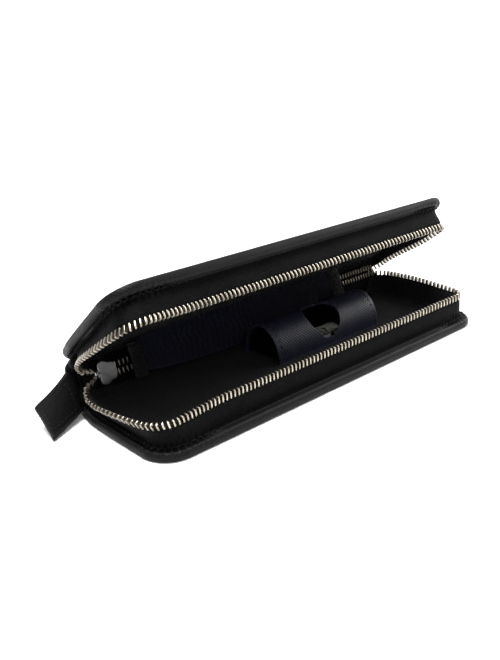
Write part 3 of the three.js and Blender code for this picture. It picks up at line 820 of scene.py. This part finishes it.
def tab(name, x0, x1, node, seed, lean):
    """Leather patch folded over the end of the strip and of the meshed zip."""
    b = Build()
    xs = np.linspace(x0, x1, 17)
    vs = np.linspace(-7.0, 7.0, 41)
    p = []
    for x in xs:
        e = min(1.0, 2.2 * (0.5 - abs((x - x0) / (x1 - x0) - 0.5)) * 2)
        p.append([(x + 0.25 * wobble(v, seed, 2, 3.0),
                   -4.3 - 0.5 * e ** 0.5 + 0.5 * abs(wobble(x, v * 1.6, seed, 2.1)), v) for v in vs])
    thick(b, np.array(p), 0.7, xs, vs + 7)
    obj = b.make(name, BLACK, spine_lean(lean))
    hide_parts(node)
    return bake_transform(obj)


def chain_tapes():
    """Short tapes above and below each meshed length, bending into the walls."""
    y0, z0 = rotated(0.0, -6.4)
    vs = np.linspace(0, 1, 8)
    for side, ends in (("left", TAPE_LEFT_X), ("right", TAPE_RIGHT_X)):
        xs = np.linspace(*ends, 40)
        # the inner edges stand apart only beside the slider
        gap = 2.6 - 2.6 * np.maximum(ease((-78.8 - xs) / 0.8), ease((xs - 77.2) / 1.2))
        gap = np.minimum(gap, 2.6 * ease((-71.8 - xs) / 1.4))
        for level, sign in (("upper", 1), ("lower", -1)):
            b = Build()
            p = np.array([[(x, y0 * (1 - t) ** 1.5 - 0.15, sign * (g * t - z0 * (1 - t))) for t in vs]
                          for x, g in zip(xs, gap)])
            thick(b, p, 0.3 * sign, xs, vs * 4)
            obj = b.make(f"spine_tape_{side}_{level}", TAPE, to_spine)
            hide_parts(f"chain_tape_{side}_{level}")
            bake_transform(obj)


# --- pen sleeve ---
def sleeve_surface(r_out, top, xs, angles, foot):
    """Arch over the floor."""
    return np.array([[(x, SLEEVE_Y + r_out * math.cos(a), foot + (top - foot) * math.sin(a))
                      for a in angles] for x in xs])


def bake(obj, angle):
    """Puts the result of an object's modifier in its mesh and keeps edges above the angle sharp."""
    bpy.context.view_layer.update()
    dg = bpy.context.evaluated_depsgraph_get()
    mesh = bpy.data.meshes.new_from_object(obj.evaluated_get(dg), depsgraph=dg)
    obj.modifiers.clear()
    obj.data = mesh
    mesh.polygons.foreach_set("use_smooth", [True] * len(mesh.polygons))
    mesh.set_sharp_from_angle(angle=math.radians(angle))


def cut_hole(obj, radius, start):
    """Round thumb hole through the crest and the front slope, cut with a many-sided punch."""
    far = start + 10
    y, z = SLEEVE_Y - 1 - math.sin(HOLE_LEAN) * far, 7.5 + math.cos(HOLE_LEAN) * far
    bpy.ops.mesh.primitive_cylinder_add(
        vertices=72, radius=radius * MM, depth=20 * MM, rotation=(HOLE_LEAN, 0, 0),
        location=Vector((HOLE_X, y, z)) * MM)
    punch = bpy.context.active_object
    mod = obj.modifiers.new("hole", "BOOLEAN")
    mod.object = punch
    mod.solver = "EXACT"
    bake(obj, 35)
    bpy.data.objects.remove(punch)


def pen_sleeve():
    """Arched leather sleeve over the floor, with a thumb hole and a seam at each end."""
    b = Build()
    foot = FLOOR + 0.05
    angles = np.linspace(0.0, math.pi, 61)
    x0, x1 = SLEEVE_X
    steps = np.array([0, 0.25, 0.8])
    xs = np.concatenate([x0 + steps, np.linspace(x0 + 2, x1 - 2, 54), x1 - steps[::-1]])
    outer = sleeve_surface(SLEEVE_R, SLEEVE_TOP, xs, angles, foot)
    inner = sleeve_surface(SLEEVE_R - 1.0, SLEEVE_TOP - 1.0, xs, angles, foot)
    for i, x in enumerate(xs):
        edge = min(x - x0, x1 - x)
        round_off = max(0.0, 1 - edge / 0.8) ** 2 * 0.35
        fold = 0.16 * math.exp(-((edge - 2.3) / 0.5) ** 2)
        for j, a in enumerate(angles):
            n = np.array([0, math.cos(a), math.sin(a)])
            lump = 0.12 * wobble(x, a * 8, 4, 10)
            outer[i, j] += n * (lump - round_off - fold)
            inner[i, j] += n * (lump + round_off)
    arc = angles * 13
    b.patch(outer, xs, arc)
    b.patch(inner, xs, arc)
    for end in (0, -1):
        b.patch(np.stack([outer[end], inner[end]], 1), arc, [0, 1])
        b.patch(np.stack([outer[:, end], inner[:, end]], 1), xs, [0, 1])
    obj = b.make("sleeve_leather", NAVY)
    cut_hole(obj, HOLE_R, 4.0)
    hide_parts("pen_sleeve")
    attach(obj, "bottom")
    for end, x in (("left", x0 + 2.3), ("right", x1 - 2.3)):
        a = np.linspace(0.06, math.pi - 0.06, 80)
        pts = np.column_stack([np.full(80, x), SLEEVE_Y + (SLEEVE_R - 0.08) * np.cos(a),
                               foot + (SLEEVE_TOP - foot - 0.08) * np.sin(a)])
        ups = np.column_stack([np.zeros(80), np.cos(a), np.sin(a)])
        seam = stitches(f"sleeve_stitching_{end}", pts, ups, 2.5, 1.75, 0.2, NAVY_THREAD)
        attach(seam, "bottom")
    return obj


def sleeve_satin():
    """Loose satin inside the sleeve: an arch and a crumpled floor, with a painted patch of light under the
    thumb hole.
    """
    b = Build()
    foot = FLOOR + 0.35
    xs = np.linspace(SLEEVE_X[0] + 0.9, SLEEVE_X[1] - 0.9, 90)
    arch = np.linspace(0.03, math.pi - 0.03, 30)
    p = []
    for x in xs:
        row = []
        for a in arch:
            k = 0.35 * wobble(x, a * 9, 12, 4.0) - 0.15
            row.append((x, SLEEVE_Y + (SLEEVE_R - 1.75 + k) * math.cos(a),
                        foot + (SLEEVE_TOP - 1.9 + k - foot) * math.sin(a)))
        for t in np.linspace(0, 1, 24)[1:-1]:
            y = SLEEVE_Y - (SLEEVE_R - 1.8) + 2 * (SLEEVE_R - 1.8) * t
            bulge = math.sin(math.pi * t)
            ridge = abs(wobble(x * 0.8 + y, y, 31, 3.6)) * 1.7 + 0.9 * wobble(x + y * 0.7, 2, 7, 6.0)
            row.append((x, y, foot + 0.25 + bulge * (1.0 + ridge)))
        p.append(row)
    p = np.array(p)
    n = p.shape[1]
    inner = p.copy()
    centre = np.array([0, SLEEVE_Y, foot + 5])
    d = inner - centre
    d[..., 0] = 0
    inner -= d / np.linalg.norm(d, axis=-1, keepdims=True) * 0.3
    around = np.arange(n + 1) * 1.3
    b.patch(p, xs, around, close_v=True)
    b.patch(inner, xs, around, close_v=True)
    for end in (0, -1):
        b.patch(np.stack([p[end], inner[end]], 1), around, [0, 0.3], close_u=True)
    # faces below the thumb hole get the light grey satin, a painted patch of light; all others get the dark
    # shade satin
    for k, face in enumerate(b.faces):
        c = np.mean([b.verts[v] for v in face], axis=0)
        lit = 12 < c[0] < 29 and c[1] < 9 and c[2] < 10 and wobble(c[0], c[1], 3, 5.0) > -0.3
        b.mats[k] = 1 if lit else 0
    obj = b.make("sleeve_satin_lining", [SATIN_DARK, SATIN_PAINTED_LIGHT])
    cut_hole(obj, HOLE_R + 0.5, 4.4)
    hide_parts("pen_sleeve_lining")
    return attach(obj, "bottom")


# --- slider, link and strap ---
def smooth_outline(points, n):
    """Closed Catmull-Rom curve through the points."""
    pts = np.array(points, float)
    out = []
    m = len(pts)
    for i in range(m):
        a, b, c, d = (pts[(i + k) % m] for k in (-1, 0, 1, 2))
        for t in np.linspace(0, 1, n, endpoint=False):
            out.append(0.5 * (2 * b + (c - a) * t + (2 * a - 5 * b + 4 * c - d) * t * t
                              + (3 * b - a - 3 * c + d) * t ** 3))
    return np.array(out)


def slider_plate(name, side, node):
    """Shield-shaped plate of the slider with its two side flanges; the inner plate is shorter."""
    a, c = SLIDER
    m = (a + c) / 2
    tip = c if side > 0 else c - 1.15
    half = [(a + 0.6, 1.2), (a + 0.35, 2.8), (a + 0.8, 4.2), (a + 2.3, 4.9), (a + 3.6, 4.5),
            (m + 0.2, 3.85), (tip - 1.75, 3.6), (tip - 0.75, 3.1), (tip - 0.15, 2.0), (tip, 0.8)]
    outline = smooth_outline([(a + 1.1, 0.0)] + half + [(x, -z) for x, z in half[::-1]], 5)
    b = Build()
    levels = [(1.45, 1.0), (2.2, 1.0), (2.5, 0.985), (2.68, 0.95), (2.75, 0.88)]
    rings = [np.column_stack([m + (outline[:, 0] - m) * k, np.full(len(outline), side * y), outline[:, 1] * k])
             for y, k in levels]
    p = np.stack(rings)
    n = len(outline)
    b.patch(p, np.arange(len(levels)), np.arange(n + 1) * 0.3, close_v=True)
    for end in (0, -1):
        b.fan(p[end], p[end][:, [0, 2]])
    for z in (2.95, -3.55):  # flanges
        y0, y1 = (1.05, 1.6) if side > 0 else (-1.6, -1.05)
        box = np.array([[(x, y, zz) for y, zz in ((y0, z), (y1, z), (y1, z + 0.6), (y0, z + 0.6))]
                        for x in (a + 3.2, c - 2.6)])
        b.patch(box, [0, 5], [0, 1, 2, 3, 4], close_v=True)
        b.caps(box, [(0, 0), (1, 0), (1, 1), (0, 1)])
    obj = b.make(name, GUN, to_spine, weld=0.0005, smooth=40)
    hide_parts(node)
    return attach(obj, "slider")


def polish(node, material, width):
    """A CAD node with bevelled edges in its own material."""
    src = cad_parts[node]
    obj = src.copy()
    obj.data = src.data.copy()
    obj.name = node + "_shaped"
    obj.parent = None
    obj.matrix_world = Matrix.Identity(4)
    for key in list(obj.keys()):
        if key.startswith("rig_"):
            del obj[key]
    bpy.context.scene.collection.objects.link(obj)
    bm = bmesh.new()
    bm.from_mesh(obj.data)
    bmesh.ops.remove_doubles(bm, verts=bm.verts, dist=1e-6)
    bmesh.ops.dissolve_limit(bm, angle_limit=math.radians(2), verts=bm.verts, edges=bm.edges)
    bm.to_mesh(obj.data)
    bm.free()
    obj.data.materials.clear()
    obj.data.materials.append(material)
    mod = obj.modifiers.new("round", "BEVEL")
    mod.width = width * MM
    mod.segments = 3
    mod.limit_method = "ANGLE"
    mod.angle_limit = math.radians(28)
    bake(obj, 50)
    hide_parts(node)
    return obj


def along(points, t):
    """Point and direction on a smooth curve through a few points, t from 0 to 1."""
    n = len(points) - 1
    i = min(int(t * n), n - 1)
    f = t * n - i
    a, b = points[i], points[i + 1]
    da = (b - points[i - 1]) / 2 if i else b - a
    db = (points[i + 2] - a) / 2 if i + 2 <= n else b - a
    h = (2 * f ** 3 - 3 * f ** 2 + 1, f ** 3 - 2 * f ** 2 + f, -2 * f ** 3 + 3 * f ** 2, f ** 3 - f ** 2)
    g = (6 * f * f - 6 * f, 3 * f * f - 4 * f + 1, -6 * f * f + 6 * f, 3 * f * f - 2 * f)
    return (h[0] * a + h[1] * da + h[2] * b + h[3] * db), (g[0] * a + g[1] * da + g[2] * b + g[3] * db)


STRAP_T, STRAP_A = np.linspace(0, 1, 44), np.linspace(-1, 1, 25)  # steps along and across


def strap_faces():
    """Front and back of the folded strap, drooping to the left, and its facing at each step."""
    start = to_spine(np.array([(LINK_END - 1.9, LINK_Y, 0.0)]))[0]
    centres = np.array([start, (-88.9, 25.8, 9.0), (-97.1, 22.0, 6.5), (-104.4, 19.3, 4.7)])
    leans = np.array([V_DIR, (0, 0.56, 0.83), (0.09, 0.755, 0.648), (0.03, 0.89, 0.455)])
    widths = ((0, 0.5), (0.04, 0.66), (0.1, 0.86), (0.18, 0.97), (0.27, 1.0), (1.0, 1.0))
    faces, facing = ([], []), []
    for t in STRAP_T:
        c, d = along(centres, t)
        w = unit(along(leans, t)[0])
        n = unit(np.cross(d, w))
        half = STRAP_HALF * np.interp(t, *zip(*widths))
        tip = max(0.0, (t - 0.975) / 0.025)
        rows = [], []
        for a in STRAP_A:
            edge = max(0.0, (abs(a) - 0.9) / 0.1)
            h = 1.2 * (1 - 0.55 * edge ** 2.5) * (1 - 0.35 * tip ** 2)
            mid = 0.5 * t * t * (a * a - 0.3) + 0.06 * wobble(t * 25, a * 8, 5, 2.0)
            for row, sign in zip(rows, (1, -1)):
                row.append(c + w * a * half + n * (mid + sign * h))
        for face, row in zip(faces, rows):
            face.append(row)
        facing.append(n)
    return np.array(faces[0]), np.array(faces[1]), facing


def strap_loop():
    """Loop of the strap round the link."""
    b = Build()
    a = np.linspace(0, 2 * math.pi, 33)[:-1]
    vs = np.linspace(-2.5, 2.5, 9)
    tube = []
    for v in vs:
        r = 2.2 * (1 - 0.12 * (abs(v) / 2.5) ** 6)
        tube.append([(LINK_END + r * math.cos(x) + 1.6 * min(0.0, math.cos(x)),
                      LINK_Y + r * math.sin(x) * (0.72 if math.cos(x) < 0 else 1), v) for x in a])
    hole = [[(LINK_END + 0.98 * math.cos(x), LINK_Y + 0.98 * math.sin(x), v) for x in a] for v in vs]
    tube, hole = np.array(tube), np.array(hole)
    b.patch(tube, np.arange(9) * 0.6, np.arange(33) * 0.4, close_v=True)
    b.patch(hole, np.arange(9) * 0.6, np.arange(33) * 0.2, close_v=True)
    for end in (0, -1):
        b.patch(np.stack([tube[end], hole[end]], 1), np.arange(33) * 0.4, [0, 1.2], close_u=True)
    ring = b.make("strap_loop", STRAP, to_spine)
    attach(ring, "strap")


def strap_stitching(face, grid, facing):
    """Stitched box near the end of the strap on one of its faces."""
    box = [(0.42, -0.66), (0.94, -0.66), (0.94, 0.66), (0.42, 0.66), (0.42, -0.66)]
    last, edge = len(STRAP_T) - 1, len(STRAP_A) - 1
    pts, ups = [], []
    for (t0, a0), (t1, a1) in zip(box, box[1:]):
        for k in np.linspace(0, 1, 24, endpoint=False):
            i, j = (t0 + (t1 - t0) * k) * last, (a0 + (a1 - a0) * k + 1) / 2 * edge
            i0, j0 = int(i), int(j)
            c = grid[i0, j0]
            pts.append(c * (1 - i + i0) + grid[min(i0 + 1, last), j0] * (i - i0)
                       + (grid[i0, min(j0 + 1, edge)] - c) * (j - j0))
            ups.append(facing[i0])
    seam = stitches(f"strap_stitching_{face}", np.array(pts), np.array(ups), 2.0, 1.45, 0.1,
                    BLACK_THREAD)
    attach(seam, "strap")


def strap():
    """Folded leather pull strap: two layers closed round the edge, a loop and two stitched boxes."""
    b = Build()
    front, back, facing = strap_faces()
    run, wide = lengths(front[:, 12]), (STRAP_A + 1) * STRAP_HALF
    b.patch(front, run, wide)
    b.patch(back, run, wide)
    for f, k, u in ((front[:, 0], back[:, 0], run), (front[:, -1], back[:, -1], run),
                    (front[0], back[0], wide), (front[-1], back[-1], wide)):
        b.patch(np.stack([f, f * 0.6 + k * 0.4, f * 0.4 + k * 0.6, k], 1), u, [0, 0.8, 1.4, 2.2])
    obj = b.make("strap_leather_fold", STRAP)
    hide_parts("pull_strap")
    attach(obj, "strap")
    strap_loop()
    strap_stitching("front", front, facing)
    strap_stitching("back", back, [-n for n in facing])


# --- make everything ---
for half, place in HALVES:
    cover(half, place)
    rim_stitching(half, place)
    gusset(half, place)
    inner_lining(half, place)
    tape_row(half, place)
teeth_row("bottom", relaxed_bottom, as_is, 0.0)
teeth_row("lid", relaxed_lid, seat_lid, PITCH / 2)
spine_outer()
navy_strip()
tab("spine_patch_left", *TAB_LEFT_X, "spine_tab_left", 3, 1.0)
tab("spine_patch_right", *TAB_RIGHT_X, "spine_tab_right", 8, 4.2)
chain_tapes()
meshed("meshed_zip_left", *ZIP_LEFT_X, "zip_chain_left", 0.0)
meshed("meshed_zip_right", *ZIP_RIGHT_X, "zip_chain_right", 3.2)
pen_sleeve()
sleeve_satin()
slider_plate("slider_plate_inner", -1, "slider_inner_plate")
slider_plate("slider_plate_outer", 1, "slider_outer_plate")
for node, body, width in (("slider_post", "slider", 0.2), ("slider_bridge", "slider", 0.35),
                          ("pull_link", "link", 0.28)):
    piece = polish(node, DARK_METAL, width)
    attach(piece, body)
strap()
board = Nodes("grey_board", (0.3, 0.28, 0.24))
fibre = board.noise(700, 4)
board.finish(board.ramp(fibre, (0.2, 0.18, 0.15), (0.36, 0.33, 0.28)), board.remap(fibre, 0.8, 0.95),
             board.bump(fibre, 0.4, 0.05), 0.2)
for half in ("bottom", "lid"):
    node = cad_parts[f"{half}_board"]
    node.data.materials.clear()
    node.data.materials.append(board.mat)

# --- stage: floor, backdrop and lights ---
def floor_and_backdrop():
    """Paper sweep: a floor that curves up into a wall behind."""
    b = Build()
    bend = [math.pi / 2 * k / 12 for k in range(1, 13)]
    yz = np.array([(-5000, 0), (700, 0)] + [(700 + 400 * math.sin(a), 400 - 400 * math.cos(a)) for a in bend]
                  + [(1100, 1800)])
    xs = np.linspace(-4000, 4000, 12)
    p = np.array([[(x, y, z - 0.02) for y, z in yz] for x in xs])
    b.patch(p, xs, lengths(yz))
    n = Nodes("studio_paper", (0.9, 0.9, 0.9))
    soft = n.noise(3, 2)
    n.finish(n.ramp(soft, (0.9, 0.9, 0.9), (0.93, 0.93, 0.93)), n.remap(soft, 0.85, 0.95), None, 0.1)
    obj = b.make("studio_floor", n.mat)
    obj.rotation_euler = (0, 0, math.radians(-40))


def area_light(name, place, size, power):
    """A rectangular lamp aimed at the case."""
    data = bpy.data.lights.new(name, "AREA")
    data.shape = "RECTANGLE"
    data.size, data.size_y = size
    data.energy = power
    obj = bpy.data.objects.new(name, data)
    bpy.context.scene.collection.objects.link(obj)
    obj.location = place
    obj.rotation_euler = (Vector((0, 0, 0.02)) - Vector(place)).to_track_quat("-Z", "Y").to_euler()


floor_and_backdrop()
area_light("key_overhead", (-0.15, 0.1, 0.95), (0.7, 0.5), 19.0)
area_light("fill_front", (-0.5, -0.9, 0.75), (0.8, 0.6), 2.0)
area_light("side_right", (0.9, -0.2, 0.5), (0.5, 0.6), 6.5)
world = bpy.data.worlds.new("studio_air")
world.use_nodes = True
world.node_tree.nodes["Background"].inputs[0].default_value = (1, 1, 1, 1)
world.node_tree.nodes["Background"].inputs[1].default_value = 0.4
bpy.context.scene.world = world
bpy.context.scene.view_settings.view_transform = "Standard"
bpy.context.scene.view_settings.look = "None"

# --- camera ---
CAM_AZ, CAM_EL, CAM_ROLL = math.radians(-38.94), math.radians(21.88), math.radians(-3.47)
CAM_AIM, CAM_DIST, CAM_LENS = Vector((-6.9, 21.6, 10.0)) * MM, 305.8 * MM, 38.63


def camera():
    level = Vector((math.sin(CAM_AZ), -math.cos(CAM_AZ), 0))
    back = level * math.cos(CAM_EL) + Vector((0, 0, math.sin(CAM_EL)))
    right = Vector((math.cos(CAM_AZ), math.sin(CAM_AZ), 0))
    up = back.cross(right)
    r = right * math.cos(CAM_ROLL) + up * math.sin(CAM_ROLL)
    u = up * math.cos(CAM_ROLL) - right * math.sin(CAM_ROLL)
    data = bpy.data.cameras.new("camera")
    data.sensor_width = 36
    data.lens = CAM_LENS
    data.clip_start = 0.01
    obj = bpy.data.objects.new("camera", data)
    bpy.context.scene.collection.objects.link(obj)
    m = Matrix((r, u, back)).transposed().to_4x4()
    m.translation = CAM_AIM + back * CAM_DIST
    obj.matrix_world = m
    bpy.context.scene.camera = obj


camera()
bpy.context.view_layer.update()
